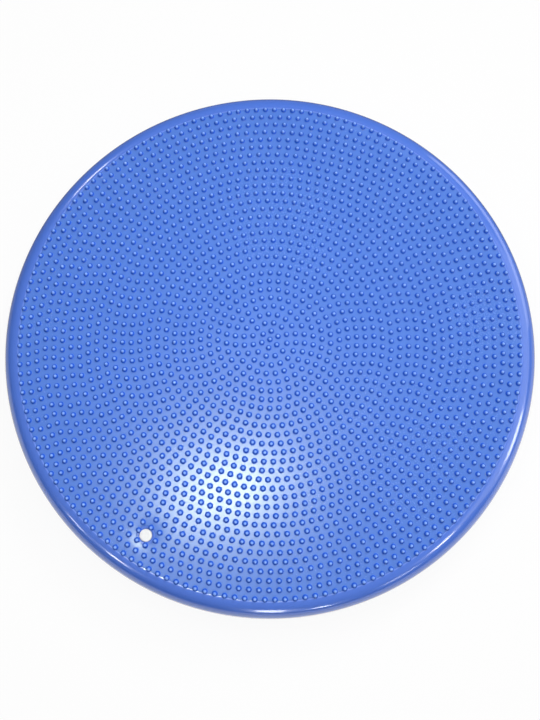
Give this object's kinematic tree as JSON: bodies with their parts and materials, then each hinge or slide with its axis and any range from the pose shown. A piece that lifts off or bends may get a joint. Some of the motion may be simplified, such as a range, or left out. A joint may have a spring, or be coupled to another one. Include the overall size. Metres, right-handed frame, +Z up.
{
  "type": "inflatable balance cushion",
  "caption": "Round inflatable cushion with a finely nubbed top, a smooth rounded rim, a studded underside and a pull-out air plug, for balance training.",
  "frame": {"origin": "on the cushion's axis, at the level of the stud tips that it rests on", "axes": "+Z up along the cushion's axis; the valve lies towards -X and -Y"},
  "size_m": [0.33, 0.33, 0.0419],
  "materials": {
    "cushion_pvc": "soft blue PVC with a satin gloss, finely nubbed on top",
    "valve_pvc": "soft blue PVC, satin",
    "plug_plastic": "white moulded plastic, slightly glossy"
  },
  "bodies": {
    "underside": {"bottom_skin": "cushion_pvc"},
    "rim": {"rim_wall": "cushion_pvc"},
    "top": {"top_skin": "cushion_pvc", "valve_body": "valve_pvc"},
    "plug": {"valve_plug": "plug_plastic"}
  },
  "joints": [
    {"name": "rock_about_x", "type": "hinge", "parent": "underside", "child": "rim", "pos_m": [0, 0, 0.01942], "axis": [1, 0, 0], "range_deg": [-4, 4], "stiffness_Nm_per_rad": 120, "deforming": ["rim_wall"]},
    {"name": "rock_about_y", "type": "hinge", "parent": "rim", "child": "top", "pos_m": [0, 0, 0.01942], "axis": [0, 1, 0], "range_deg": [-4, 4], "stiffness_Nm_per_rad": 120, "deforming": ["rim_wall"]},
    {"name": "plug_pull", "type": "slide", "parent": "top", "child": "plug", "axis": [-0.0284, -0.0454, 0.9986], "range_m": [0, 0.016]}
  ]
}
